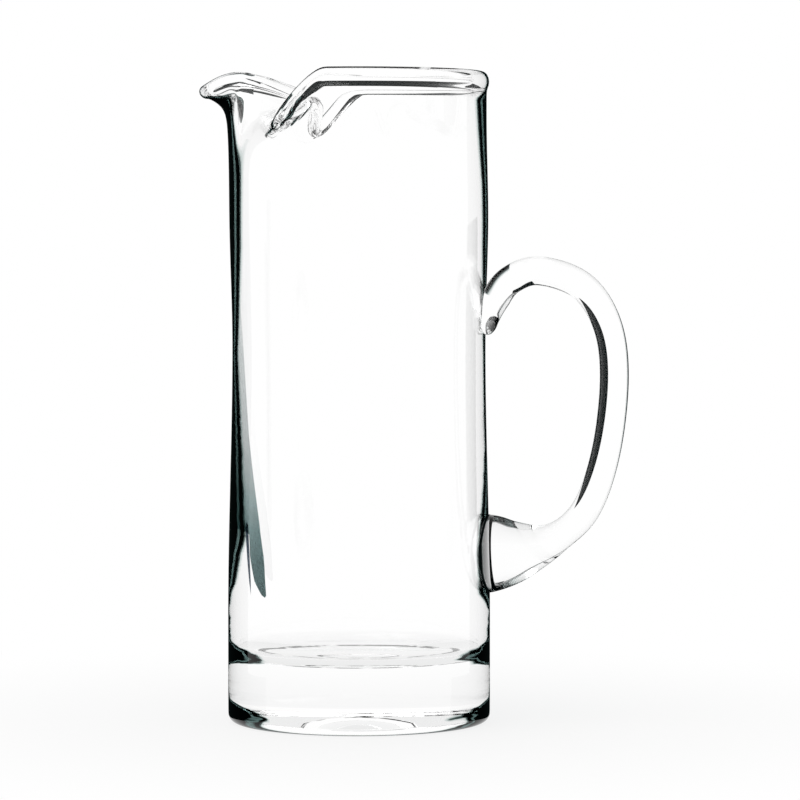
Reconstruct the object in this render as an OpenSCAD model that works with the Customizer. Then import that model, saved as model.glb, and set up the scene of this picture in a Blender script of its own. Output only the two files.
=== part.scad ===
// Hand-blown glass cocktail pitcher: a tall heavy-based vessel with a rolled rim,
// a spout pinched between two folds of the rim, and a pulled handle.
// Millimetres. The origin is the centre of the base on the table, +Z is up,
// the spout points to -X and the handle to +X.

/* [Vessel] */
// Height from the table to the top of the rim
body_h = 260; // [230:1:300]
// Outer radius of the heavy foot
foot_r = 52.5; // [48:0.1:58]
// Height up to which the foot stays straight
foot_h = 42; // [36:1:60]
// Outer radius at the slight waist
waist_r = 50.6; // [46:0.1:54]
// Height of the waist
waist_h = 152; // [140:1:160]
// Outer radius at the shoulder above the waist
shoulder_r = 51.7; // [48:0.1:56]
// Distance of the shoulder below the top of the rim
shoulder_drop = 58; // [50:1:66]
// Outer radius where the wall draws in under the rim
collar_r = 51; // [47:0.1:55]
// Distance of that draw-in below the top of the rim
collar_drop = 17; // [12:1:26]

/* [Wall] */
// Wall thickness just above the foot
wall_foot = 3.9; // [2.5:0.1:6]
// Wall thickness at the waist, where the blown wall is thinnest
wall_waist = 2.2; // [1.6:0.1:4]
// Wall thickness under the rim
wall_rim = 3.8; // [2.5:0.1:4.4]
// Thickness of the rolled bead along the rim
bead_t = 5.8; // [4.8:0.1:7]
// Height of the bead
bead_h = 8.4; // [6:0.1:10]

/* [Base] */
// Thickness of the solid glass under the floor
base_t = 25.6; // [15:0.1:32]
// Width of the rounded inner corner between floor and wall
floor_corner_w = 13; // [8:0.5:18]
// Height of that corner
floor_corner_h = 6.5; // [4:0.5:12]
// Radius of the outer edge of the foot
foot_edge_r = 3.5; // [1.5:0.1:6]
// Radius of the hollow that is ground under the base
pontil_r = 17; // [8:0.5:22]
// Depth of that hollow
pontil_depth = 3.7; // [1:0.1:6]

/* [Pouring lip] */
// Height of the band below the rim that the lip and its folds are drawn from
lip_band = 70; // [64:1:76]
// How far the bead at the tip of the spout stands out from the wall
spout_overhang = 11; // [6:0.1:16]
// Drop of the tip below the rim
spout_drop = 4.8; // [2:0.1:8]
// Height of the bead at the tip, where it is drawn out thin
spout_bead_h = 6.2; // [5:0.1:8]
// How far the wall is drawn out with the spout
spout_swell = 3.2; // [0:0.1:5]
// Half of the spout's width where its lip is highest
spout_half_w = 12; // [9:0.1:15]
// Distance of that place inward from the outer wall
spout_setback = 6; // [3:0.1:9]
// Drop of the lip below the rim at that place
spout_crown_drop = 0; // [0:0.1:3]
// Half of the throat's width between the two folds
throat_half_w = 10; // [8:0.1:13]
// Distance of the throat inward from the outer wall
throat_depth = 31; // [24:0.5:34]
// Drop of the rim at the throat
throat_drop = 8.5; // [5:0.5:12]
// Angle from the spout to the lowest point of a fold
fold_angle = 60; // [56:1:64]
// Drop of the rim at that point
fold_drop = 18; // [12:0.5:21]
// Height of the bead there, where it is drawn out thin
fold_bead_h = 5.8; // [5:0.1:8]
// How far the fold stands out from the round wall
fold_bulge = 1; // [0:0.1:2]
// Angle from the spout at which the rim is round again
round_angle = 84; // [80:1:92]

/* [Handle] */
// Reach of the handle's centre line from the axis
handle_reach = 102.5; // [92:0.1:115]
// Height of the centre line at the top of the loop
handle_top = 180.7; // [174:0.1:184]
// Height of the centre line at the lower seal
handle_low = 67.9; // [60:0.1:80]
// Thickness of the pulled rod, from finger side to outside
rod_t = 11.6; // [9:0.1:14]
// Width of the rod across the handle
rod_w = 13.6; // [10:0.1:18]
// Height of the lower seal on the wall
low_seal_h = 31.6; // [24:0.5:36]
// Width of the lower seal
low_seal_w = 28; // [18:0.5:32]
// Distance from the wall over which the rod swells into the lower seal
low_flare = 34; // [24:0.5:38]
// Thickness of the tail of the rod, which is turned down and pressed on at the upper seal
tail_t = 6.4; // [5:0.1:9]
// Width of the tail
tail_w = 16; // [12:0.5:22]
// Length over which the rod thins into the tail
tail_length = 16; // [10:0.5:22]

/* [Hidden] */

// Overrun of the cuts
overrun = 5;
// Smoothness of the revolved wall and of the curved shapes
wall_steps = 16;
corner_steps = 10;
$fn = 96;
// The glass of the folded band is set this far inside the wall that it grows from
lap_inset = 0.12;
lap_h = 6;

join_z = body_h - lip_band;
shoulder_z = body_h - shoulder_drop;
collar_z = body_h - collar_drop;
bead_z = body_h - bead_h / 2;

// Places that the bead passes on its way from the tip of the spout to the round rim,
// as angles on the round rim before it was pinched: tip, crown, throat, fold, round
crown_angle = 16;
throat_angle = 36;
rim_angles = [0, crown_angle, throat_angle, fold_angle, round_angle];

// How steeply the displacements of the rim die away down the wall
spout_fade_power = 14;
fold_fade_power = 7;
drop_fade_power = 3;
swell_fade_power = 2.2;

// Angular steps of the folded band, finer around the folds
fine_step = 2.5;
coarse_step = 6;
fine_end = 90;

// Levels of the folded band between its foot and the bead, as shares of its height
level_shares = [0, 0.14, 0.28, 0.41, 0.53, 0.63, 0.72, 0.8, 0.87, 0.93];
// Angles around the bead, from the inner wall over the top to the outer wall
bead_angles = [for (a = [225 : -27 : -45]) a];

// Centre line of the handle from the upper to the lower seal: shares of the reach
// beyond the wall and of the height between the lower seal and the top of the loop
route_shares = [
  [0.02, 0.775], [0.035, 0.83], [0.085, 0.90], [0.20, 0.967], [0.42, 1.00], [0.75, 0.947],
  [0.945, 0.812], [1.00, 0.622], [0.938, 0.365], [0.785, 0.161], [0.54, 0.056], [0.28, 0.014],
  [0.00, 0.00]
];
route_steps = 5;
rod_sides = 20;
// Rounding of the tail's end, as shares of its size at its first sections
tip_shares = [0.45, 0.8, 0.95];
// How far the centre line is carried on into the wall before the lower seal is cut to it
seal_sink = 6;

// Smooth step from 0 to 1
function ease(t) = let (u = min(1, max(0, t))) u * u * (3 - 2 * u);
function mix(a, b, t) = a + (b - a) * t;
function unit(v) = v / norm(v);

// Outer radius and wall thickness of the blown vessel at a height
function outer_radius(z) =
  z < waist_h ? mix(foot_r, waist_r, ease((z - foot_h) / (waist_h - foot_h)))
  : z < shoulder_z ? mix(waist_r, shoulder_r, ease((z - waist_h) / (shoulder_z - waist_h)))
  : mix(shoulder_r, collar_r, ease((z - shoulder_z) / (collar_z - shoulder_z)));
function wall_at(z) =
  z < waist_h ? mix(wall_foot, wall_waist, ease((z - foot_h) / (waist_h - foot_h)))
  : mix(wall_waist, wall_rim, ease((z - waist_h) / (collar_z - waist_h)));
function inner_radius(z) = outer_radius(z) - wall_at(z);
function middle_radius(z) = outer_radius(z) - wall_at(z) / 2;

// Swelling of the wall under the spout, by the angle from it
function swell(a) = spout_swell * ease(1 - abs(a) / fold_angle);

// Height of the bead, and how much higher its middle lies where it is thin
function bead_height(a) = lookup(abs(a), [
  [0, spout_bead_h], [throat_angle, bead_h], [fold_angle, fold_bead_h], [round_angle, bead_h]
]);
function bead_lift(a) = (bead_h - bead_height(a)) / 2;

// Displacement of the bead from the rim at the five places
function round_rim(a) = (middle_radius(bead_z) + swell(a)) * [-cos(a), sin(a), 0];
spout_tip = [-collar_r - spout_overhang, 0, bead_lift(0) - spout_drop];
spout_crown = [spout_setback - collar_r, spout_half_w, bead_lift(crown_angle) - spout_crown_drop];
throat = [throat_depth - collar_r, throat_half_w, -throat_drop];
fold_r = middle_radius(bead_z) + fold_bulge;
fold_end = [-fold_r * cos(fold_angle), fold_r * sin(fold_angle), -fold_drop];
rim_places = [spout_tip, spout_crown, throat, fold_end, round_rim(round_angle)];
shifts = [for (i = [0 : len(rim_places) - 1]) rim_places[i] - round_rim(rim_angles[i])];

// Slope of the displacement at a place, level at the tip across and at the round rim
function slope(i) =
  i == 0 ? [0, (shifts[1][1] - shifts[0][1]) / rim_angles[1], 0]
  : i == len(shifts) - 1 ? [0, 0, 0]
  : (shifts[i + 1] - shifts[i - 1]) / (rim_angles[i + 1] - rim_angles[i - 1]);
function cubic(a, b, slope_a, slope_b, span, t) =
  let (t2 = t * t, t3 = t2 * t)
  a * (2 * t3 - 3 * t2 + 1) + b * (3 * t2 - 2 * t3)
  + span * (slope_a * (t3 - 2 * t2 + t) + slope_b * (t3 - t2));
function stretch(a, i = 0) = i < len(rim_angles) - 2 && a > rim_angles[i + 1] ? stretch(a, i + 1) : i;
function half_shift(a) =
  a >= round_angle ? [0, 0, 0]
  : let (i = stretch(a), span = rim_angles[i + 1] - rim_angles[i])
    cubic(shifts[i], shifts[i + 1], slope(i), slope(i + 1), span, (a - rim_angles[i]) / span);
function rim_shift(a) = let (s = half_shift(abs(a))) [s[0], a < 0 ? -s[1] : s[1], s[2]];

// Middle surface of the folded band: the swelling wall plus the fading displacement of the rim
function fade_power(a) = mix(spout_fade_power, fold_fade_power, ease(abs(a) / throat_angle));
function middle(a, z) =
  let (
    up = max(0, (z - join_z) / (bead_z - join_z)),
    across = pow(up, fade_power(a)),
    down = pow(up, drop_fade_power),
    r = middle_radius(z) + swell(a) * pow(up, swell_fade_power),
    s = rim_shift(a)
  )
  r * [-cos(a), sin(a), 0] + [across * s[0], across * s[1], z + down * s[2]];
function along(a, z) = let (d = bead_t / 20) unit(middle(a, z) - middle(a, z - d));
function outward(a, z) =
  let (d = 0.5) unit(cross(along(a, z), middle(a + d, z) - middle(a - d, z)));

// One section of the folded band: up the inner wall, over the bead and down the outer wall
band_levels = [for (s = level_shares) mix(join_z, bead_z, s)];
top_level = len(band_levels) - 1;
function band_side(a, z, side, inset) = middle(a, z) + side * (wall_at(z) / 2 - inset) * outward(a, z);
function inset_at(i) = i == 0 ? lap_inset : 0;
function lap_point(a, side) =
  let (z = join_z - lap_h)
  (middle_radius(z) + side * (wall_at(z) / 2 - lap_inset)) * [-cos(a), sin(a), 0] + [0, 0, z];
function bead_point(a, b) =
  middle(a, bead_z)
  + bead_t / 2 * cos(b) * outward(a, bead_z)
  + bead_height(a) / 2 * sin(b) * along(a, bead_z);
function band_section(a) = concat(
  [lap_point(a, -1)],
  [for (i = [0 : top_level]) band_side(a, band_levels[i], -1, inset_at(i))],
  [for (b = bead_angles) bead_point(a, b)],
  [for (i = [top_level : -1 : 0]) band_side(a, band_levels[i], 1, inset_at(i))],
  [lap_point(a, 1)]
);
band_angles = concat(
  [for (a = [-fine_end : fine_step : fine_end - fine_step / 2]) a],
  [for (a = [fine_end : coarse_step : 360 - fine_end - coarse_step / 2]) a > 180 ? a - 360 : a]
);

// Skin of a tube of sections, either closed on itself or with flat ends
module loft(sections, ring) {
  count = len(sections);
  sides = len(sections[0]);
  last = ring ? count - 1 : count - 2;
  skin = [
    for (i = [0 : last], j = [0 : sides - 1])
      let (
        p = i * sides + j,
        q = i * sides + (j + 1) % sides,
        r = ((i + 1) % count) * sides + (j + 1) % sides,
        s = ((i + 1) % count) * sides + j
      )
      each [[p, q, r], [p, r, s]]
  ];
  ends = ring ? [] : [
    [for (j = [sides - 1 : -1 : 0]) j],
    [for (j = [0 : sides - 1]) (count - 1) * sides + j]
  ];
  polyhedron(points = [for (s = sections) each s], faces = concat(skin, ends), convexity = 8);
}

// Half outline of the vessel's outside up to a height, filled to the axis
module outer_outline(top) {
  difference() {
    polygon(concat(
      [[0, 0]],
      [[foot_r, 0]],
      [for (i = [0 : wall_steps]) let (z = mix(foot_h, top, i / wall_steps)) [outer_radius(z), z]],
      [[0, top]]
    ));
    difference() {
      translate([foot_r - foot_edge_r, -overrun])
        square([foot_edge_r + overrun, foot_edge_r + overrun]);
      translate([foot_r - foot_edge_r, foot_edge_r])
        circle(foot_edge_r);
    }
  }
}

// Half outline of the hollow inside, with its rounded floor corner
module inner_outline(top) {
  corner_z = base_t + floor_corner_h;
  corner_x = inner_radius(corner_z) - floor_corner_w;
  polygon(concat(
    [[0, base_t]],
    [
      for (i = [0 : corner_steps - 1])
        let (b = 90 * i / corner_steps)
        [corner_x + floor_corner_w * sin(b), corner_z - floor_corner_h * cos(b)]
    ],
    [for (i = [0 : wall_steps]) let (z = mix(corner_z, top, i / wall_steps)) [inner_radius(z), z]],
    [[inner_radius(top), top + overrun], [0, top + overrun]]
  ));
}

module blown_wall() {
  difference() {
    rotate_extrude()
      difference() {
        outer_outline(join_z);
        inner_outline(join_z);
      }
    pontil_hollow();
  }
}

// Shallow bowl ground under the base where the blowing rod was broken off
module pontil_hollow() {
  ball_r = (pontil_r * pontil_r + pontil_depth * pontil_depth) / (2 * pontil_depth);
  translate([0, 0, pontil_depth - ball_r])
    sphere(ball_r);
}

module body() {
  color([0.86, 0.93, 0.92, 0.45]) {
    blown_wall();
    loft([for (a = band_angles) band_section(a)], true);
  }
}

// Centre line of the handle, smooth through its route, and carried on into the wall below
seat_r = outer_radius(mix(handle_low, handle_top, route_shares[0][1]));
route = [
  for (s = route_shares)
    [mix(seat_r, handle_reach, s[0]), mix(handle_low, handle_top, s[1])]
];
function bend(i) =
  i == 0 ? route[1] - route[0]
  : i == len(route) - 1 ? route[i] - route[i - 1]
  : (route[i + 1] - route[i - 1]) / 2;
function route_at(i, t) = cubic(route[i], route[i + 1], bend(i), bend(i + 1), 1, t);
inner_line = [
  for (i = [0 : len(route) - 2], k = [0 : route_steps - 1]) route_at(i, k / route_steps)
];
line_end = route[len(route) - 1];
centre_line = concat(inner_line, [line_end, line_end - [seal_sink, 0]]);
function heading(i) =
  unit(centre_line[min(i + 1, len(centre_line) - 1)] - centre_line[max(i - 1, 0)]);

// Thickness and width of the rod, thinning into the tail and swelling into the lower seal
function upper_half(i) = i < len(centre_line) / 2;
function tip_share(i) = i < len(tip_shares) ? tip_shares[i] : 1;
function tail_fade(i) = ease(norm(centre_line[i] - route[0]) / tail_length);
function low_swell(i) = ease(1 - (centre_line[i][0] - seat_r) / low_flare);
function rod_size(i) =
  upper_half(i) ? tip_share(i) * mix([tail_t, tail_w], [rod_t, rod_w], tail_fade(i))
  : mix([rod_t, rod_w], [low_seal_h, low_seal_w], low_swell(i));
function rod_section(i) =
  let (c = centre_line[i], h = heading(i), size = rod_size(i) / 2)
  [
    for (k = [0 : rod_sides - 1])
      let (b = 360 * k / rod_sides, lift = size[0] * cos(b))
      [c[0] - h[1] * lift, size[1] * sin(b), c[1] + h[0] * lift]
  ];

module handle() {
  color([0.88, 0.95, 0.94, 0.45])
    difference() {
      loft([for (i = [0 : len(centre_line) - 1]) rod_section(i)], false);
      rotate_extrude()
        outer_outline(join_z);
    }
}

body();
handle();
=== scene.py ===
import math

import bmesh
import bpy
from mathutils import Matrix, Vector


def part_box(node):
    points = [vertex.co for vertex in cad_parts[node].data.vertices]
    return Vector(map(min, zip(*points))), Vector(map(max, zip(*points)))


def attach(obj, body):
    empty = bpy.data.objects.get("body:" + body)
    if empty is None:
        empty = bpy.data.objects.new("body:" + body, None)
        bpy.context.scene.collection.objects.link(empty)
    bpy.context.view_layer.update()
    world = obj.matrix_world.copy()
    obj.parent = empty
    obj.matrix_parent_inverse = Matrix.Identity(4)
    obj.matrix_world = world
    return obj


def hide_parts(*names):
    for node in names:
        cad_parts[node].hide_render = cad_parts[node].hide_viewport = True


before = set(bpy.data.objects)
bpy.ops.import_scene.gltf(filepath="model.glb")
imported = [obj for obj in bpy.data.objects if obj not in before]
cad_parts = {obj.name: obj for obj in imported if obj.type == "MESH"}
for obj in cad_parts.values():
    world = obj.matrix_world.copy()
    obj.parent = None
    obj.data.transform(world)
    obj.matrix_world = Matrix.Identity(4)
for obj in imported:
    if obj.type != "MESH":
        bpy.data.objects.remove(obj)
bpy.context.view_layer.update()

# The vessel: one gather of clear glass, blown into a tall cylinder on a heavy solid base.
# The rim is rolled to a bead and pinched between two folds to make a spout that holds
# back the ice. A hollow is ground under the base where the blowing rod was broken off.
body_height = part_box("body")[1].z
foot_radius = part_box("body")[1].y
foot_height = 0.042
waist_radius = 0.0506
waist_height = 0.152
shoulder_radius, shoulder_drop = 0.0517, 0.058
shoulder_height = body_height - shoulder_drop
collar_radius, collar_drop = 0.051, 0.017
collar_height = body_height - collar_drop
wall_at_foot = 0.0039
wall_at_waist = 0.0022
wall_at_rim = 0.0038
bead_thickness, bead_height = 0.0058, 0.0084
bead_level = body_height - bead_height / 2
floor_height = 0.0256
floor_corner_width, floor_corner_height = 0.013, 0.0065
foot_edge = 0.0035
pontil_radius = 0.017
pontil_depth = 0.0037
lip_band = 0.070
join_height = body_height - lip_band


def ease(t):
    u = min(1, max(0, t))
    return u * u * (3 - 2 * u)


def mix(a, b, t):
    return a + (b - a) * t


def outer_radius(z):
    if z < waist_height:
        return mix(foot_radius, waist_radius, ease((z - foot_height) / (waist_height - foot_height)))
    if z < shoulder_height:
        return mix(waist_radius, shoulder_radius, ease((z - waist_height) / (shoulder_height - waist_height)))
    up = ease((z - shoulder_height) / (collar_height - shoulder_height))
    return mix(shoulder_radius, collar_radius, up)


def wall_thickness(z):
    if z < waist_height:
        return mix(wall_at_foot, wall_at_waist, ease((z - foot_height) / (waist_height - foot_height)))
    return mix(wall_at_waist, wall_at_rim, ease((z - waist_height) / (collar_height - waist_height)))


def inner_radius(z):
    return outer_radius(z) - wall_thickness(z)


def middle_radius(z):
    return outer_radius(z) - wall_thickness(z) / 2


# The bead passes five places: tip of the spout, crown of its lip, throat, fold, round rim. Each has
# its angle on the round rim before it was pinched, and the bead is drawn out thin at tip and fold.
crown_angle, throat_angle, fold_angle, round_angle = 16, 36, 60, 84
rim_angles = [0, crown_angle, throat_angle, fold_angle, round_angle]
tip_bead, fold_bead = 0.0062, 0.0058
bead_heights = [
    (0, tip_bead), (throat_angle, bead_height), (fold_angle, fold_bead), (round_angle, bead_height),
]
spout_swell = 0.0032


def swell(angle):
    """How far the wall is drawn out with the spout, at an angle from it in degrees."""
    return spout_swell * ease(1 - abs(angle) / fold_angle)


def local_bead(angle):
    turn = min(abs(angle), round_angle)
    for (start, low), (end, high) in zip(bead_heights, bead_heights[1:]):
        if turn <= end:
            return mix(low, high, (turn - start) / (end - start))


def bead_lift(angle):
    return (bead_height - local_bead(angle)) / 2


def round_rim(angle):
    a = math.radians(angle)
    return (middle_radius(bead_level) + swell(angle)) * Vector((-math.cos(a), math.sin(a), 0))


tip_reach, tip_drop = 0.011, 0.0048
crown_setback, crown_half = 0.006, 0.012
throat_setback, throat_half, throat_drop = 0.031, 0.010, 0.0085
fold_swell, fold_drop = 0.001, 0.018
fold_turn = math.radians(fold_angle)
fold_radius = middle_radius(bead_level) + fold_swell
rim_places = [
    Vector((-collar_radius - tip_reach, 0, bead_lift(0) - tip_drop)),
    Vector((crown_setback - collar_radius, crown_half, bead_lift(crown_angle))),
    Vector((throat_setback - collar_radius, throat_half, -throat_drop)),
    Vector((-fold_radius * math.cos(fold_turn), fold_radius * math.sin(fold_turn), -fold_drop)),
    round_rim(round_angle),
]
rim_shifts = [place - round_rim(angle) for place, angle in zip(rim_places, rim_angles)]
spout_fade, fold_fade, drop_fade, swell_fade = 14, 7, 3, 2.2


def shift_slope(i):
    if i == 0:
        return Vector((0, (rim_shifts[1].y - rim_shifts[0].y) / rim_angles[1], 0))
    if i == len(rim_shifts) - 1:
        return Vector((0, 0, 0))
    return (rim_shifts[i + 1] - rim_shifts[i - 1]) / (rim_angles[i + 1] - rim_angles[i - 1])


def cubic(a, b, slope_a, slope_b, span, t):
    rise = 3 * t**2 - 2 * t**3
    return a * (1 - rise) + b * rise + span * (slope_a * (t**3 - 2 * t**2 + t) + slope_b * (t**3 - t**2))


def rim_shift(angle):
    turn = abs(angle)
    if turn >= rim_angles[-1]:
        return Vector((0, 0, 0))
    i = max(k for k in range(len(rim_angles) - 1) if turn >= rim_angles[k])
    span = rim_angles[i + 1] - rim_angles[i]
    part = (turn - rim_angles[i]) / span
    shift = cubic(rim_shifts[i], rim_shifts[i + 1], shift_slope(i), shift_slope(i + 1), span, part)
    return Vector((shift.x, math.copysign(1, angle) * shift.y, shift.z))


def folded_wall(angle, z):
    """Middle of the wall at an angle from the spout: the round wall plus the rim's fading shift."""
    a = math.radians(angle)
    up = max(0, (z - join_height) / (bead_level - join_height))
    across = up ** mix(spout_fade, fold_fade, ease(abs(angle) / throat_angle))
    shift = rim_shift(angle)
    r = middle_radius(z) + swell(angle) * up**swell_fade
    return Vector((
        across * shift.x - r * math.cos(a),
        across * shift.y + r * math.sin(a),
        z + up**drop_fade * shift.z,
    ))


def wall_directions(angle, z):
    """Unit vectors up along the folded wall and out of it."""
    step, turn = bead_thickness / 20, 0.5
    up = (folded_wall(angle, z) - folded_wall(angle, z - step)).normalized()
    out = up.cross(folded_wall(angle + turn, z) - folded_wall(angle - turn, z)).normalized()
    return up, out


def arc(centre, radii, start, end, steps):
    turns = [math.radians(mix(start, end, i / steps)) for i in range(steps + 1)]
    return [(centre[0] + radii[0] * math.cos(t), centre[1] + radii[1] * math.sin(t)) for t in turns]


bead_seam = -40
bead_foot = bead_level + bead_height / 2 * math.sin(math.radians(bead_seam))
hollow_steps, edge_steps, low_steps, lip_steps, bead_steps, corner_steps = 8, 6, 20, 22, 16, 10
ring_shares, floor_shares = (0.03, 0.2, 0.4, 0.6, 0.8, 0.95), (0.9, 0.7, 0.5, 0.3, 0.12)
vessel_sides = 180


def vessel_outline():
    """Half section of the glass, from the middle of the hollow round to the middle of the floor."""
    ball = (pontil_radius**2 + pontil_depth**2) / (2 * pontil_depth)
    rim_turn = math.degrees(math.acos(pontil_radius / ball))
    hollow = arc((0, pontil_depth - ball), (ball, ball), 90, rim_turn, hollow_steps)
    hollow[0] = (0, pontil_depth)
    foot_start = foot_radius - foot_edge
    ring = [(mix(pontil_radius, foot_start, t), 0) for t in ring_shares]
    edge = arc((foot_start, foot_edge), (foot_edge, foot_edge), -90, 0, edge_steps)
    bead_start = bead_level - bead_height / 2
    low_levels = [mix(foot_edge, join_height, (i + 1) / low_steps) for i in range(low_steps)]
    lip_levels = [mix(join_height, bead_start, (i + 1) / lip_steps) for i in range(lip_steps)]
    outside = [(outer_radius(z), z) for z in low_levels + lip_levels]
    bead_centre = (middle_radius(bead_level), bead_level)
    bead_radii = (bead_thickness / 2, bead_height / 2)
    bead = arc(bead_centre, bead_radii, bead_seam, 180 - bead_seam, bead_steps)
    corner_height = floor_height + floor_corner_height
    corner_start = inner_radius(corner_height) - floor_corner_width
    inner_levels = [z for z in reversed(low_levels + lip_levels) if z > corner_height + foot_edge]
    inside = [(inner_radius(z), z) for z in inner_levels]
    corner_radii = (floor_corner_width, floor_corner_height)
    corner = arc((corner_start, corner_height), corner_radii, 0, -90, corner_steps)
    floor = [(corner_start * t, floor_height) for t in floor_shares]
    return hollow + ring + edge + outside + bead + inside + corner + floor + [(0, floor_height)]


weld_distance = 1e-6


def finish_mesh(name, bm):
    """Merges the poles, turns the faces outwards, smooths them and makes the object."""
    bmesh.ops.remove_doubles(bm, verts=bm.verts, dist=weld_distance)
    bmesh.ops.recalc_face_normals(bm, faces=bm.faces)
    for face in bm.faces:
        face.smooth = True
    mesh = bpy.data.meshes.new(name)
    bm.to_mesh(mesh)
    bm.free()
    piece = bpy.data.objects.new(name, mesh)
    bpy.context.scene.collection.objects.link(piece)
    return piece


def soften(piece):
    rounding = piece.modifiers.new("fire_polish", "SUBSURF")
    rounding.levels = rounding.render_levels = 1


vessel_mesh = bmesh.new()
outline = [vessel_mesh.verts.new((r, 0, z)) for r, z in vessel_outline()]
outline_edges = [vessel_mesh.edges.new(pair) for pair in zip(outline, outline[1:])]
bmesh.ops.spin(
    vessel_mesh, geom=outline + outline_edges, cent=(0, 0, 0), axis=(0, 0, 1), angle=math.tau,
    steps=vessel_sides, use_merge=True,
)
for vert in vessel_mesh.verts:
    if vert.co.z > join_height:
        turned = math.degrees(math.atan2(vert.co.y, -vert.co.x))
        level = vert.co.z if vert.co.z < bead_foot - weld_distance else bead_level
        along, outward = wall_directions(turned, level)
        proud = math.hypot(vert.co.x, vert.co.y) - middle_radius(level)
        rise = (vert.co.z - level) * local_bead(turned) / bead_height
        vert.co = folded_wall(turned, level) + proud * outward + rise * along
vessel = finish_mesh("blown_vessel", vessel_mesh)
soften(vessel)


def add_node(nodes, kind, **settings):
    node = nodes.new(kind)
    for name, value in settings.items():
        setattr(node, name, value)
    return node


def add_math(group, operation, first, second):
    """A maths node in a node tree, fed by sockets or by plain numbers."""
    node = add_node(group.nodes, "ShaderNodeMath", operation=operation)
    for socket, value in zip(node.inputs, (first, second)):
        if isinstance(value, bpy.types.NodeSocket):
            group.links.new(value, socket)
        else:
            socket.default_value = value
    return node.outputs[0]


def times(group, first, second):
    return add_math(group, "MULTIPLY", first, second)


def plus(group, first, second):
    return add_math(group, "ADD", first, second)


def minus(group, first, second):
    return add_math(group, "SUBTRACT", first, second)


def over_range(group, value, start, end, low=0, high=1, smooth=False):
    """A value carried from one range to another, and held at its ends."""
    kind = "SMOOTHSTEP" if smooth else "LINEAR"
    node = add_node(group.nodes, "ShaderNodeMapRange", interpolation_type=kind)
    for label, limit in (("From Min", start), ("From Max", end), ("To Min", low), ("To Max", high)):
        node.inputs[label].default_value = limit
    group.links.new(value, node.inputs["Value"])
    return node.outputs["Result"]


def vector_math(group, operation, first, second):
    """A vector node in a node tree, whose first input is a socket and whose second is a plain vector."""
    node = add_node(group.nodes, "ShaderNodeVectorMath", operation=operation)
    group.links.new(first, node.inputs[0])
    node.inputs[1].default_value = second
    return node


ripple_detail, ripple_roughness = 1.5, 0.35
dull_start, dull_end, dull_most = 0.45, 0.8, 0.012


def ripple_group():
    """Slow waves of hand-worked glass, drawn out along the height, and a trace of dullness."""
    group = bpy.data.node_groups.new("worked_glass_ripple", "ShaderNodeTree")
    for label in ("Wave Scale", "Draw"):
        group.interface.new_socket(label, in_out="INPUT", socket_type="NodeSocketFloat")
    for label in ("Height", "Dullness"):
        group.interface.new_socket(label, in_out="OUTPUT", socket_type="NodeSocketFloat")
    nodes, links = group.nodes, group.links
    given = nodes.new("NodeGroupInput")
    place = nodes.new("ShaderNodeTexCoord")
    drawn = nodes.new("ShaderNodeCombineXYZ")
    drawn.inputs["X"].default_value = drawn.inputs["Y"].default_value = 1
    links.new(given.outputs["Draw"], drawn.inputs["Z"])
    stretched = add_node(nodes, "ShaderNodeVectorMath", operation="MULTIPLY")
    links.new(place.outputs["Object"], stretched.inputs[0])
    links.new(drawn.outputs[0], stretched.inputs[1])
    waves = nodes.new("ShaderNodeTexNoise")
    waves.inputs["Detail"].default_value = ripple_detail
    waves.inputs["Roughness"].default_value = ripple_roughness
    links.new(given.outputs["Wave Scale"], waves.inputs["Scale"])
    links.new(stretched.outputs[0], waves.inputs["Vector"])
    result = nodes.new("NodeGroupOutput")
    links.new(waves.outputs["Fac"], result.inputs["Height"])
    dullness = over_range(group, waves.outputs["Fac"], dull_start, dull_end, high=dull_most)
    links.new(dullness, result.inputs["Dullness"])
    return group


worked_ripple = ripple_group()


def paint_ramp(ramp, stops):
    """Sets the stops of a colour ramp: a list of places and colours."""
    elements = ramp.color_ramp.elements
    while len(elements) < len(stops):
        elements.new(0.5)
    for element, (place, colour) in zip(elements, stops):
        element.position = place
        element.color = (*colour, 1)


def ramp_at(group, value, stops):
    ramp = group.nodes.new("ShaderNodeValToRGB")
    paint_ramp(ramp, stops)
    group.links.new(value, ramp.inputs["Fac"])
    return ramp.outputs["Color"]


def split_colour(group, colour):
    split = group.nodes.new("ShaderNodeSeparateColor")
    group.links.new(colour, split.inputs[0])
    return [split.outputs[channel] for channel in ("Red", "Green", "Blue")]


# Painted shade on the edge of the wall, for the dark surround that the glass shows edge-on: height, width of
# the painted edge, its streakiness, and how much wider it is towards the spout.
# A width of plain_width leaves the edge as the ramp of the glass has it.
plain_width = 0.5
wall_shade_widths = [
    (0, 0.50, 0, 0), (0.002, 0.68, 0.2, 0), (0.005, 0.78, 0.3, 0), (0.008, 0.70, 0.2, 0),
    (0.0105, 0.28, 0, 0), (0.020, 0.17, 0, 0), (0.0235, 0.28, 0.1, 0), (0.0260, 0.66, 0.25, 0),
    (0.0285, 0.80, 0.25, 0), (0.0315, 0.62, 0.2, 0), (0.034, 0.36, 0.1, 0), (0.045, 0.30, 0.1, 0),
    (0.050, 0.395, 0.03, -0.055), (0.053, 0.465, 0.02, -0.085), (0.057, 0.516, 0.02, -0.04),
    (0.070, 0.573, 0.02, 0.017), (0.076, 0.598, 0.02, 0.06), (0.088, 0.547, 0.02, 0.085),
    (0.112, 0.460, 0.02, 0.115), (0.148, 0.40, 0, 0.05), (0.190, 0.508, 0, 0.062),
    (0.215, 0.525, 0, 0.065), (0.2325, 0.550, 0, 0.045), (0.2485, 0.568, 0, 0.02), (0.252, 0.35, 0, 0),
]
streak_stretch, streak_scale, streak_strength = (1, 1, 6), 45, 2
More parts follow.
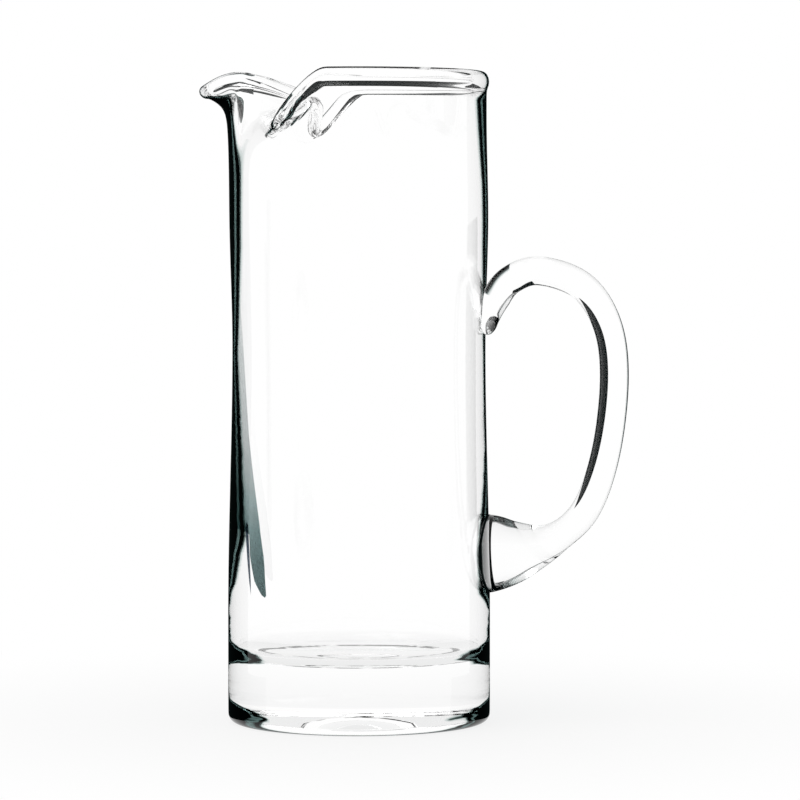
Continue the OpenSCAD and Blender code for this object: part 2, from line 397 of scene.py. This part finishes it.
# On the spout's side a leaf of painted grey-green shade lies inside the painted dark edge, with a thin
# painted dark spike beside it:
# height, the facing at which the leaf starts and ends, and half the spike's width.
leaf_limits = [
    (0.0525, 0.315, 0.290, 0), (0.0534, 0.298, 0.33, 0), (0.0590, 0.306, 0.403, 0.010),
    (0.0650, 0.313, 0.436, 0.014), (0.0690, 0.32, 0.455, 0.016), (0.0735, 0.335, 0.46, 0.018),
    (0.0780, 0.35, 0.47, 0.02), (0.0800, 0.355, 1, 0.02), (0.0825, 0.362, 1, 0), (0.0919, 0.397, 1, 0),
    (0.1159, 0.493, 1, 0), (0.1519, 0.598, 1, 0), (0.168, 0.64, 1, 0), (0.172, 1, 1, 0),
]
# Painted shade colours of the leaf, by height, from near black up to pale grey-green.
leaf_shade_tints = [
    (0.052, (0.004, 0.011, 0.011)), (0.067, (0.006, 0.018, 0.018)), (0.079, (0.018, 0.044, 0.044)),
    (0.091, (0.07, 0.115, 0.115)), (0.115, (0.24, 0.27, 0.27)), (0.150, (0.40, 0.44, 0.44)),
    (0.168, (0.64, 0.67, 0.67)),
]
leaf_side_start, leaf_side_end = 0.4, 0.55
spike_low, spike_high = (0.0545, 0.442), (0.0795, 0.498)
spike_magnifier = 10
# Painted dark lines, painted shade where the glass shows its dark surround: on the turn of the floor and
# round the ground hollow, broken up by noise.
turn_line, turn_half, turn_strength = 0.0397, 0.0015, 0.6
hollow_line, hollow_half = pontil_radius - 0.0006, 0.0009
break_scale, break_start, break_end = 130, 0.42, 0.50
# Painted shade in streaks along the near fold of the lip: place, run, size, squeeze, noise scale, cut and
# strength.
crease_place = folded_wall(-70, bead_level)
crease_run = (folded_wall(-80, bead_level) - folded_wall(-62, bead_level)).normalized()
crease_radius, crease_squeeze = 0.013, 0.88
crease_scale, crease_cut, crease_shade_strength = 420, 0.40, 2.2
# Painted shade round the spout's tip: the dark edge is widened strongly close by and faintly further off.
tip_place = Vector((-collar_radius, 0, bead_level - bead_height))
tip_near, tip_near_strength = 0.012, 0.3
tip_far, tip_far_strength = 0.032, 0.09


def object_reach(group):
    """A place on the glass, its height and its distance from the axis."""
    place = group.nodes.new("ShaderNodeTexCoord").outputs["Object"]
    split = group.nodes.new("ShaderNodeSeparateXYZ")
    group.links.new(place, split.inputs[0])
    flat = vector_math(group, "MULTIPLY", place, (1, 1, 0))
    reach = add_node(group.nodes, "ShaderNodeVectorMath", operation="LENGTH")
    group.links.new(flat.outputs[0], reach.inputs[0])
    return place, split.outputs["Z"], reach.outputs["Value"]


def new_edge_group(name, *labels):
    """An empty group for the painted shade on the edges of a piece: a colour for each tint, a number for the
    rest.
    """
    group = bpy.data.node_groups.new(name, "ShaderNodeTree")
    for label in labels:
        kind = "NodeSocketColor" if "Tint" in label else "NodeSocketFloat"
        group.interface.new_socket(label, in_out="OUTPUT", socket_type=kind)
    return group


def noise_at(group, place, stretch, scale):
    drawn = vector_math(group, "MULTIPLY", place, stretch)
    noise = group.nodes.new("ShaderNodeTexNoise")
    noise.inputs["Scale"].default_value = scale
    group.links.new(drawn.outputs[0], noise.inputs["Vector"])
    return noise.outputs["Fac"]


def near_place(group, place, centre, radius):
    """1 at a place, falling to 0 at a radius from it."""
    away = vector_math(group, "DISTANCE", place, centre).outputs["Value"]
    return over_range(group, away, radius, radius / 2, smooth=True)


def line_at(group, value, centre, half_width):
    """1 on a line of a value, 0 off it."""
    off = add_math(group, "ABSOLUTE", minus(group, value, centre), 0)
    return add_math(group, "LESS_THAN", off, half_width)


def fold_crease_shade(group, place):
    """Painted shade in streaks along the near fold of the lip, added to the width of the dark edge."""
    along = vector_math(group, "DOT_PRODUCT", place, crease_run).outputs["Value"]
    pulled = add_node(group.nodes, "ShaderNodeVectorMath", operation="SCALE")
    pulled.inputs[0].default_value = crease_run * crease_squeeze
    group.links.new(along, pulled.inputs["Scale"])
    squeezed = add_node(group.nodes, "ShaderNodeVectorMath", operation="SUBTRACT")
    group.links.new(place, squeezed.inputs[0])
    group.links.new(pulled.outputs[0], squeezed.inputs[1])
    creases = minus(group, noise_at(group, squeezed.outputs[0], (1, 1, 1), crease_scale), crease_cut)
    near = near_place(group, place, crease_place, crease_radius)
    return times(group, near, times(group, creases, crease_shade_strength))


def wall_shade_group():
    """Painted shade on the edges of the vessel: widths by height, wider towards the spout, streaked, with the
    painted leaf and spike beside it.
    A broken painted dark line rings the ground hollow, a fainter one the turn of the floor, and the hollow's
    dome is painted dark edge-on."""
    group = new_edge_group(
        "wall_painted_shade", "Thickness", "Outside", "Line", "Turn", "Hollow", "Waves", "Leaf", "Leaf Tint",
        "Leaf Start", "Leaf End", "Spike", "Spike Middle",
    )
    nodes, links = group.nodes, group.links
    place, height, reach = object_reach(group)
    level = add_math(group, "DIVIDE", height, body_height)
    shade_stops = [
        (z / body_height, (width, streakiness, plain_width + lean)) for z, width, streakiness, lean in wall_shade_widths
    ]
    width, streakiness, leaning = split_colour(group, ramp_at(group, level, shade_stops))
    streaks = minus(group, noise_at(group, place, streak_stretch, streak_scale), plain_width)
    streaked_shade = times(group, streaks, times(group, streakiness, streak_strength))
    to_spout = nodes.new("ShaderNodeSeparateXYZ")
    links.new(place, to_spout.inputs[0])
    spoutward = add_math(group, "DIVIDE", to_spout.outputs["X"], -waist_radius)
    lean = times(group, minus(group, leaning, plain_width), spoutward)
    # Painted shade: the dark edge is widened round the spout's tip and in streaks along the near fold.
    near_tip = times(group, near_place(group, place, tip_place, tip_near), tip_near_strength)
    round_tip = times(group, near_place(group, place, tip_place, tip_far), tip_far_strength)
    shade_width = plus(group, plus(group, width, streaked_shade), lean)
    shade_width = plus(group, shade_width, plus(group, fold_crease_shade(group, place), plus(group, near_tip, round_tip)))
    outside = over_range(group, reach, waist_radius - wall_at_waist, waist_radius - wall_at_waist / 2)
    waves = over_range(group, height, floor_height + floor_corner_height, 2 * floor_height)
    broken = over_range(group, noise_at(group, place, (1, 1, 1), break_scale), break_start, break_end)
    under = add_math(group, "LESS_THAN", height, pontil_depth / 2)
    ground = times(group, times(group, line_at(group, reach, hollow_line, hollow_half), under), broken)
    over = add_math(group, "GREATER_THAN", height, floor_height / 2)
    turn = times(group, times(group, line_at(group, reach, turn_line, turn_half), over), broken)
    inside_ring = add_math(group, "LESS_THAN", reach, hollow_line - hollow_half)
    dome = times(group, inside_ring, add_math(group, "LESS_THAN", height, 2 * pontil_depth))
    limit_stops = [
        (z / body_height, (start, end, half * spike_magnifier)) for z, start, end, half in leaf_limits
    ]
    leaf_start, leaf_end, spike_half = split_colour(group, ramp_at(group, level, limit_stops))
    leaf_side = over_range(group, spoutward, leaf_side_start, leaf_side_end, smooth=True)
    values = {
        "Thickness": shade_width,
        "Outside": outside,
        "Line": ground,
        "Turn": times(group, turn, turn_strength),
        "Hollow": times(group, dome, broken),
        "Waves": waves,
        "Leaf": times(group, leaf_side, outside),
        "Leaf Tint": ramp_at(group, level, [(z / body_height, tint) for z, tint in leaf_shade_tints]),
        "Leaf Start": leaf_start,
        "Leaf End": leaf_end,
        "Spike": add_math(group, "DIVIDE", spike_half, spike_magnifier),
        "Spike Middle": over_range(group, height, spike_low[0], spike_high[0], spike_low[1], spike_high[1]),
    }
    result = nodes.new("NodeGroupOutput")
    for label, value in values.items():
        links.new(value, result.inputs[label])
    return group


glass_bend = 1.5
# The colour of the painted dark spike beside the leaf.
spike_shade_tint = (0.004, 0.007, 0.012, 1)
# The black of the painted dark lines; the cards are painted with it too.
painted_line_and_card_black = (0.004, 0.007, 0.007)
shadow_tint = (0.80, 0.83, 0.83, 1)
turn_facing, hollow_facing = 0.7, 0.87


def tinted(tree, colour, factor, tint):
    """A colour multiplied by a tint, a socket or a plain colour, where a factor says so."""
    blend = add_node(tree.nodes, "ShaderNodeMix", data_type="RGBA", blend_type="MULTIPLY")
    tree.links.new(factor, blend.inputs["Factor"])
    colour_a, colour_b, result = blend.inputs["A"], blend.inputs["B"], blend.outputs["Result"]
    tree.links.new(colour, colour_a)
    if isinstance(tint, bpy.types.NodeSocket):
        tree.links.new(tint, colour_b)
    else:
        colour_b.default_value = tint
    return result


def painted_leaf_and_spike(tree, colour, facing, edge):
    """The edge's colour with the painted leaf and spike of shade on it."""
    after_start = add_math(tree, "GREATER_THAN", facing, edge.outputs["Leaf Start"])
    before_end = add_math(tree, "LESS_THAN", facing, edge.outputs["Leaf End"])
    in_leaf = times(tree, times(tree, after_start, before_end), edge.outputs["Leaf"])
    leaf = tinted(tree, colour, in_leaf, edge.outputs["Leaf Tint"])
    on_spike = line_at(tree, facing, edge.outputs["Spike Middle"], edge.outputs["Spike"])
    return tinted(tree, leaf, times(tree, on_spike, edge.outputs["Leaf"]), spike_shade_tint)


def blend_shaders(tree, factor, first, second):
    blend = tree.nodes.new("ShaderNodeMixShader")
    for socket, value in zip(blend.inputs, (factor, first.outputs[0], second.outputs[0])):
        tree.links.new(value, socket)
    return blend


def clear_glass(name, wave_scale, draw, wave_depth, gloss, shade_stops, painted_shade_group):
    """Clear glass whose colour is painted dark and faintly green where the eye looks along it, edge-on:
    painted shade for the dark surround seen in its edges.
    """
    glass = bpy.data.materials.new(name)
    glass.use_nodes = True
    tree = glass.node_tree
    nodes, links = tree.nodes, tree.links
    body = nodes["Principled BSDF"]
    body.inputs["Transmission Weight"].default_value = 1
    body.inputs["IOR"].default_value = glass_bend
    body.inputs["Specular Tint"].default_value = (gloss, gloss, gloss, 1)
    edge = add_node(nodes, "ShaderNodeGroup", node_tree=painted_shade_group)
    ripple = add_node(nodes, "ShaderNodeGroup", node_tree=worked_ripple)
    ripple.inputs["Wave Scale"].default_value = wave_scale
    ripple.inputs["Draw"].default_value = draw
    links.new(ripple.outputs["Dullness"], body.inputs["Roughness"])
    waves = ripple.outputs["Height"]
    if "Waves" in edge.outputs:
        waves = times(tree, waves, edge.outputs["Waves"])
    bump = nodes.new("ShaderNodeBump")
    bump.inputs["Distance"].default_value = wave_depth
    links.new(waves, bump.inputs["Height"])
    links.new(bump.outputs["Normal"], body.inputs["Normal"])
    # Painted shade: the base colour turns dark where the glass is seen edge-on, by Layer Weight facing
    # widened by the edge group.
    facing = nodes.new("ShaderNodeLayerWeight").outputs["Facing"]
    widened = minus(tree, plus(tree, facing, edge.outputs["Thickness"]), plain_width)
    if "Outside" in edge.outputs:
        widened = times(tree, widened, edge.outputs["Outside"])
    colour = ramp_at(tree, widened, shade_stops)
    if "Leaf" in edge.outputs:
        colour = painted_leaf_and_spike(tree, colour, facing, edge)
    links.new(colour, body.inputs["Base Color"])
    # A black diffuse mixed in where the painted lines fall: painted shade on the ring round the hollow, the
    # turn of the floor, the hollow's dome and the handle's lower seam.
    drawn = edge.outputs["Line"]
    for label, least in (("Turn", turn_facing), ("Hollow", hollow_facing)):
        if label in edge.outputs:
            slant = add_math(tree, "GREATER_THAN", facing, least)
            drawn = plus(tree, drawn, times(tree, edge.outputs[label], slant))
    line = nodes.new("ShaderNodeBsdfDiffuse")
    line.inputs["Color"].default_value = (*painted_line_and_card_black, 1)
    shadow = nodes.new("ShaderNodeBsdfTransparent")
    shadow.inputs["Color"].default_value = shadow_tint
    in_shadow = nodes.new("ShaderNodeLightPath").outputs["Is Shadow Ray"]
    shade = blend_shaders(tree, in_shadow, blend_shaders(tree, drawn, body, line), shadow)
    links.new(shade.outputs[0], nodes["Material Output"].inputs["Surface"])
    return glass


vessel_waves = {"wave_scale": 45, "draw": 0.35, "wave_depth": 0.0001}
vessel_gloss = 0.35
# Colours of the painted dark edge along the ramp: white, then grey-green, then black.
vessel_shade_colours = [
    (0.61, (1, 1, 1)), (0.645, (0.40, 0.50, 0.48)), (0.66, (0.008, 0.016, 0.015)), (0.68, (0, 0, 0)),
    (0.74, (0, 0, 0)), (0.77, (0.014, 0.036, 0.034)), (0.80, (0, 0, 0)), (1, (0, 0, 0)),
]
vessel_glass = clear_glass(
    "vessel_glass", gloss=vessel_gloss, shade_stops=vessel_shade_colours, painted_shade_group=wall_shade_group(), **vessel_waves
)
vessel.data.materials.append(vessel_glass)
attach(vessel, "root")
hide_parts("body")

# The handle: a second gather of the same glass, pulled into a rod while soft, looped down
# and pressed on. Its upper end is turned down as a thin tail, its lower end spread as a pad.
handle_reach = 0.1025
handle_top = 0.1807
handle_low = 0.0679
rod_thickness, rod_width = 0.0116, 0.0136
tail_thickness, tail_width, tail_length = 0.0064, 0.016, 0.016
pad_height, pad_width, pad_flare = 0.0316, 0.028, 0.034
pad_sink = 0.006
pad_shares = (0, 0.35, 0.7, 1)
tail_insets, pad_insets = (0.0006,), (0.003, 0.004, 0.004)
seal_depth = 0.0002
route_shares = [
    (0.02, 0.775), (0.035, 0.83), (0.085, 0.90), (0.20, 0.967), (0.42, 1.00), (0.75, 0.947),
    (0.945, 0.812), (1.00, 0.622), (0.938, 0.365), (0.785, 0.161), (0.54, 0.056), (0.28, 0.014),
    (0.00, 0.00),
]
tip_shares = [0.35, 0.62, 0.8, 0.92, 0.98]
route_steps = 8
rod_sides = 32

seat_radius = outer_radius(mix(handle_low, handle_top, route_shares[0][1]))
route = [
    Vector((mix(seat_radius, handle_reach, across), 0, mix(handle_low, handle_top, up)))
    for across, up in route_shares
]


def route_bend(i):
    return (route[min(i + 1, len(route) - 1)] - route[max(i - 1, 0)]) / (1 if i in (0, len(route) - 1) else 2)


centre_line = [
    cubic(route[i], route[i + 1], route_bend(i), route_bend(i + 1), 1, k / route_steps)
    for i in range(len(route) - 1)
    for k in range(route_steps)
]
centre_line += [route[-1] - Vector((pad_sink * t, 0, 0)) for t in pad_shares]


def rod_size(i):
    """Thickness in the plane of the loop and width across it."""
    point = centre_line[i]
    if i < len(centre_line) / 2:
        tip = tip_shares[i] if i < len(tip_shares) else 1
        grown = ease((point - route[0]).length / tail_length)
        return tip * mix(tail_thickness, rod_thickness, grown), tip * mix(tail_width, rod_width, grown)
    spread = ease(1 - (point.x - seat_radius) / pad_flare)
    return mix(rod_thickness, pad_height, spread), mix(rod_width, pad_width, spread)


def rod_frame(i):
    """Matrix that puts a unit circle across the rod at a place on its centre line."""
    heading = centre_line[min(i + 1, len(centre_line) - 1)] - centre_line[max(i - 1, 0)]
    heading.normalize()
    across = Vector((-heading.z, 0, heading.x))
    thickness, width = rod_size(i)
    turn = Matrix((across * thickness / 2, Vector((0, width / 2, 0)), heading)).transposed()
    return Matrix.Translation(centre_line[i]) @ turn.to_4x4()


handle_mesh = bmesh.new()
ring = bmesh.ops.create_circle(handle_mesh, segments=rod_sides, radius=1, matrix=rod_frame(0))["verts"]
ring_edges = list({edge for vert in ring for edge in vert.link_edges})
end_rings = [ring_edges]
for i in range(1, len(centre_line)):
    grown = bmesh.ops.extrude_edge_only(handle_mesh, edges=ring_edges)["geom"]
    ring = [item for item in grown if isinstance(item, bmesh.types.BMVert)]
    new_edges = [item for item in grown if isinstance(item, bmesh.types.BMEdge)]
    ring_edges = [edge for edge in new_edges if set(edge.verts) <= set(ring)]
    bmesh.ops.transform(handle_mesh, matrix=rod_frame(i) @ rod_frame(i - 1).inverted(), verts=ring)
end_rings.append(ring_edges)
for rim, insets in zip(end_rings, (tail_insets, pad_insets)):
    cap = bmesh.ops.edgeloop_fill(handle_mesh, edges=rim)["faces"]
    for depth in insets:
        bmesh.ops.inset_region(handle_mesh, faces=cap, thickness=depth, use_even_offset=True)
    bmesh.ops.poke(handle_mesh, faces=cap)
for vert in handle_mesh.verts:
    reach = math.hypot(vert.co.x, vert.co.y)
    seat = outer_radius(vert.co.z) - seal_depth
    if reach < seat:
        vert.co.x *= seat / reach
        vert.co.y *= seat / reach
handle = finish_mesh("pulled_handle", handle_mesh)
soften(handle)

# Painted shade on the edge of the rod, for the dark surround that the glass shows edge-on: distance from the
# vessel's axis, and width of the painted edge on the upper half of the loop and on the lower half.
rod_shade_widths = [
    (0.0515, 0.52, 1.00), (0.0535, 0.56, 0.95), (0.0545, 0.58, 0.66), (0.0565, 0.54, 0.62),
    (0.060, 0.50, 0.58), (0.066, 0.43, 0.54), (0.074, 0.42, 0.47), (0.080, 0.42, 0.42),
    (0.098, 0.42, 0.42), (0.1035, 0.58, 0.58), (0.1083, 0.72, 0.72),
]
# Painted shade on the handle: a dark wedge over the upper seal and a dark line along the lower seam.
wedge_place = Vector((0.0566, 0, 0.1768))
wedge_along, wedge_across = Vector((0.57, 0, 0.82)), Vector((-0.82, 0, 0.57))
wedge_length, wedge_width = 0.015, 0.008
wedge_start, wedge_end, wedge_strength = 1.2, 0.8, 0.55
seam_low, seam_high = handle_low - pad_height / 2, handle_low + pad_height / 2
seam_off, seam_half = 3 * seal_depth, 2.5 * seal_depth


def seal_shade_wedge(group, place):
    """1 in an oval over the upper seal, 0 outside it, where shade is painted."""
    offset = vector_math(group, "SUBTRACT", place, wedge_place).outputs[0]
    spans = []
    for direction, size in ((wedge_along, wedge_length), (wedge_across, wedge_width)):
        along = vector_math(group, "DOT_PRODUCT", offset, direction * 2 / size).outputs["Value"]
        spans.append(times(group, along, along))
    return over_range(group, plus(group, *spans), wedge_start, wedge_end)


def rod_shade_group():
    """Painted shade on the edges of the handle: broad by the seals, finer along the loop. Shade is also
    painted dark along the lower seam and in a wedge over the upper seal."""
    group = new_edge_group("rod_shade", "Thickness", "Line")
    place, height, reach = object_reach(group)
    far = rod_shade_widths[-1][0]
    shade_stops = [(r / far, (upper, lower, 0)) for r, upper, lower in rod_shade_widths]
    edges = ramp_at(group, add_math(group, "DIVIDE", reach, far), shade_stops)
    upper_width, lower_width, _ = split_colour(group, edges)
    low_half = add_math(group, "LESS_THAN", height, (handle_top + handle_low) / 2)
    high_half = minus(group, 1, low_half)
    shade_width = plus(group, times(group, upper_width, high_half), times(group, lower_width, low_half))
    shade_width = plus(group, shade_width, times(group, seal_shade_wedge(group, place), wedge_strength))
    wall = over_range(
        group, height, seam_low, seam_high, low=outer_radius(seam_low), high=outer_radius(seam_high)
    )
    seam = line_at(group, minus(group, reach, wall), seam_off, seam_half)
    result = group.nodes.new("NodeGroupOutput")
    group.links.new(shade_width, result.inputs["Thickness"])
    group.links.new(times(group, seam, low_half), result.inputs["Line"])
    return group


handle_waves = {"wave_scale": 60, "draw": 0.5, "wave_depth": 0.0001}
handle_gloss = 0.15
# Colours of the handle's painted dark edge along the ramp: white, then grey-green, then black.
rod_shade = [(0.74, (1, 1, 1)), (0.84, (0.30, 0.36, 0.35)), (0.90, (0.01, 0.015, 0.015)), (1, (0, 0, 0))]
handle_glass = clear_glass(
    "handle_glass", gloss=handle_gloss, shade_stops=rod_shade, painted_shade_group=rod_shade_group(), **handle_waves
)
handle.data.materials.append(handle_glass)
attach(handle, "root")
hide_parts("handle")

# The camera: a long lens somewhat below the rim, turned so that the handle comes towards it.
view_azimuth = math.radians(9)
view_distance = 1.562
view_height = 0.1945
target_across = 0.0164
target_height = 0.12887
sensor_width, lens_length = 36, 175.8
to_right = Vector((math.cos(view_azimuth), math.sin(view_azimuth), 0))
to_camera = Vector((math.sin(view_azimuth), -math.cos(view_azimuth), 0))
target = to_right * target_across + Vector((0, 0, target_height))
camera_data = bpy.data.cameras.new("camera")
camera_data.sensor_width = sensor_width
camera_data.lens = lens_length
camera = bpy.data.objects.new("camera", camera_data)
camera.location = to_right * target_across + to_camera * view_distance + Vector((0, 0, view_height))
camera.rotation_mode = "QUATERNION"
camera.rotation_quaternion = (target - camera.location).to_track_quat("-Z", "Y")
bpy.context.scene.collection.objects.link(camera)
bpy.context.scene.camera = camera

# The table and studio: a plain pale floor, an even white surround and one large soft lamp.
# Dark cards that the camera doesn't see stand beside and behind the glass, as a photographer sets them, so
# that its edges are drawn in black against the white, together with the shade painted into the glass's
# colour.
floor_half = 6
floor_grey, floor_roughness = (0.86, 0.86, 0.86, 1), 0.8
shadow_start, shadow_end, shadow_white = 0.04, 0.30, 0.82
surround_grey, surround_strength = (0.8, 0.8, 0.8, 1), 0.7
lamp_size, lamp_power = 1.2, 12
lamp_place = Vector((-0.5, -0.6, 1.5))


def white_for_the_eye(tree, plain, white_kind, level):
    """Mixes a plain shader with pure white for the rays that the eye or the glass sends out."""
    path = tree.nodes.new("ShaderNodeLightPath")
    seen = add_math(tree, "MAXIMUM", path.outputs["Is Camera Ray"], path.outputs["Is Glossy Ray"])
    seen = add_math(tree, "MAXIMUM", seen, path.outputs["Is Transmission Ray"])
    white = tree.nodes.new(white_kind)
    white.inputs["Color"].default_value = (1, 1, 1, 1)
    white.inputs["Strength"].default_value = 1
    return blend_shaders(tree, times(tree, seen, level), plain, white)


floor_mesh = bmesh.new()
bmesh.ops.create_grid(floor_mesh, x_segments=1, y_segments=1, size=floor_half)
floor = finish_mesh("floor", floor_mesh)
floor_paint = bpy.data.materials.new("pale_floor")
floor_paint.use_nodes = True
floor_tree = floor_paint.node_tree
floor_plain = floor_tree.nodes["Principled BSDF"]
floor_plain.inputs["Base Color"].default_value = floor_grey
floor_plain.inputs["Roughness"].default_value = floor_roughness
floor_place = floor_tree.nodes.new("ShaderNodeTexCoord")
floor_reach = add_node(floor_tree.nodes, "ShaderNodeVectorMath", operation="LENGTH")
floor_tree.links.new(floor_place.outputs["Object"], floor_reach.inputs[0])
floor_white = over_range(
    floor_tree, floor_reach.outputs["Value"], shadow_start, shadow_end, low=shadow_white, smooth=True
)
floor_seen = white_for_the_eye(floor_tree, floor_plain, "ShaderNodeEmission", floor_white)
floor_tree.links.new(floor_seen.outputs[0], floor_tree.nodes["Material Output"].inputs["Surface"])
floor.data.materials.append(floor_paint)

world = bpy.data.worlds.new("white_surround")
bpy.context.scene.world = world
world.use_nodes = True
world_tree = world.node_tree
world_plain = world_tree.nodes["Background"]
world_plain.inputs["Color"].default_value = surround_grey
world_plain.inputs["Strength"].default_value = surround_strength
world_seen = white_for_the_eye(world_tree, world_plain, "ShaderNodeBackground", 1)
world_tree.links.new(world_seen.outputs[0], world_tree.nodes["World Output"].inputs["Surface"])

lamp_data = bpy.data.lights.new("soft_box", "AREA")
lamp_data.size = lamp_size
lamp_data.energy = lamp_power
lamp = bpy.data.objects.new("soft_box", lamp_data)
lamp.location = lamp_place
lamp.rotation_mode = "QUATERNION"
lamp.rotation_quaternion = (-lamp_place).to_track_quat("-Z", "Y")
bpy.context.scene.collection.objects.link(lamp)


def card_paint(name, colour):
    """Paint on the face of a card. The back of the card lets light through."""
    paint = bpy.data.materials.new(name)
    paint.use_nodes = True
    tree = paint.node_tree
    tree.nodes.remove(tree.nodes["Principled BSDF"])
    face = tree.nodes.new("ShaderNodeEmission")
    face.inputs["Color"].default_value = (*colour, 1)
    back = tree.nodes.new("ShaderNodeBsdfTransparent")
    side = tree.nodes.new("ShaderNodeNewGeometry")
    both = blend_shaders(tree, side.outputs["Backfacing"], face, back)
    tree.links.new(both.outputs[0], tree.nodes["Material Output"].inputs["Surface"])
    return paint


black_paint = card_paint("black_card", painted_line_and_card_black)
pitcher_middle = Vector((0, 0, body_height / 2))


def card(name, corners, in_glass=True):
    """A flat black card that turns its face to the pitcher, at corners (to the right, away, up) as the
    camera sees them. Without in_glass it shows in the gloss of the glass only, not through it."""
    card_mesh = bmesh.new()
    places = [to_right * x - to_camera * y + Vector((0, 0, z)) for x, y, z in corners]
    face = card_mesh.faces.new([card_mesh.verts.new(place) for place in places])
    face.normal_update()
    if face.normal.dot(pitcher_middle - places[0]) < 0:
        face.normal_flip()
    mesh = bpy.data.meshes.new(name)
    card_mesh.to_mesh(mesh)
    card_mesh.free()
    mesh.materials.append(black_paint)
    piece = bpy.data.objects.new(name, mesh)
    bpy.context.scene.collection.objects.link(piece)
    piece.visible_camera = piece.visible_diffuse = piece.visible_shadow = False
    piece.visible_transmission = in_glass
    return piece


def upright(away, outline):
    return [(x, away, z) for x, z in outline]


def block(left, low, right, high):
    return [(left, low), (left, high), (right, high), (right, low)]


flag_across, flag_near, flag_far, flag_top = 0.22, 0.05, 1.9, 1.0
table_flag_inner, table_flag_near, table_flag_level = 0.054, -0.04, 0.001


def side_flag(x):
    return [(x, flag_near, 0), (x, flag_far, 0), (x, flag_far, flag_top), (x, flag_near, flag_top)]


def table_flag(side):
    inner, outer, z = side * table_flag_inner, side * flag_across, table_flag_level
    near, far = table_flag_near, flag_far
    return [(inner, near, z), (inner, far, z), (outer, far, z), (outer, near, z)]


rim_card_away, rim_end_away, handle_card_away = 0.30, 0.10, 0.07
rim_card_outline = [
    (-0.30, 0.33), (-0.30, 0.65), (0.055, 0.65), (0.055, 0.342), (-0.030, 0.342), (-0.036, 0.290),
    (-0.075, 0.295), (-0.10, 0.33),
]
rim_end_outline = block(0.02, 0.292, 0.17, 0.36)
handle_card_outline = block(0.130, 0.05, 0.23, 0.21)
cards = [
    card("left_flag", side_flag(-flag_across), in_glass=False),
    card("right_flag", side_flag(flag_across), in_glass=False),
    card("left_table_flag", table_flag(-1), in_glass=False),
    card("right_table_flag", table_flag(1), in_glass=False),
    card("rim_card", upright(rim_card_away, rim_card_outline)),
    card("rim_end_card", upright(rim_end_away, rim_end_outline)),
    card("handle_card", upright(handle_card_away, handle_card_outline)),
]

glass_bounces = 24
bpy.context.scene.view_settings.view_transform = "Standard"
light_paths = bpy.context.scene.cycles
light_paths.max_bounces = light_paths.transmission_bounces = light_paths.glossy_bounces = glass_bounces
light_paths.caustics_reflective = light_paths.caustics_refractive = False
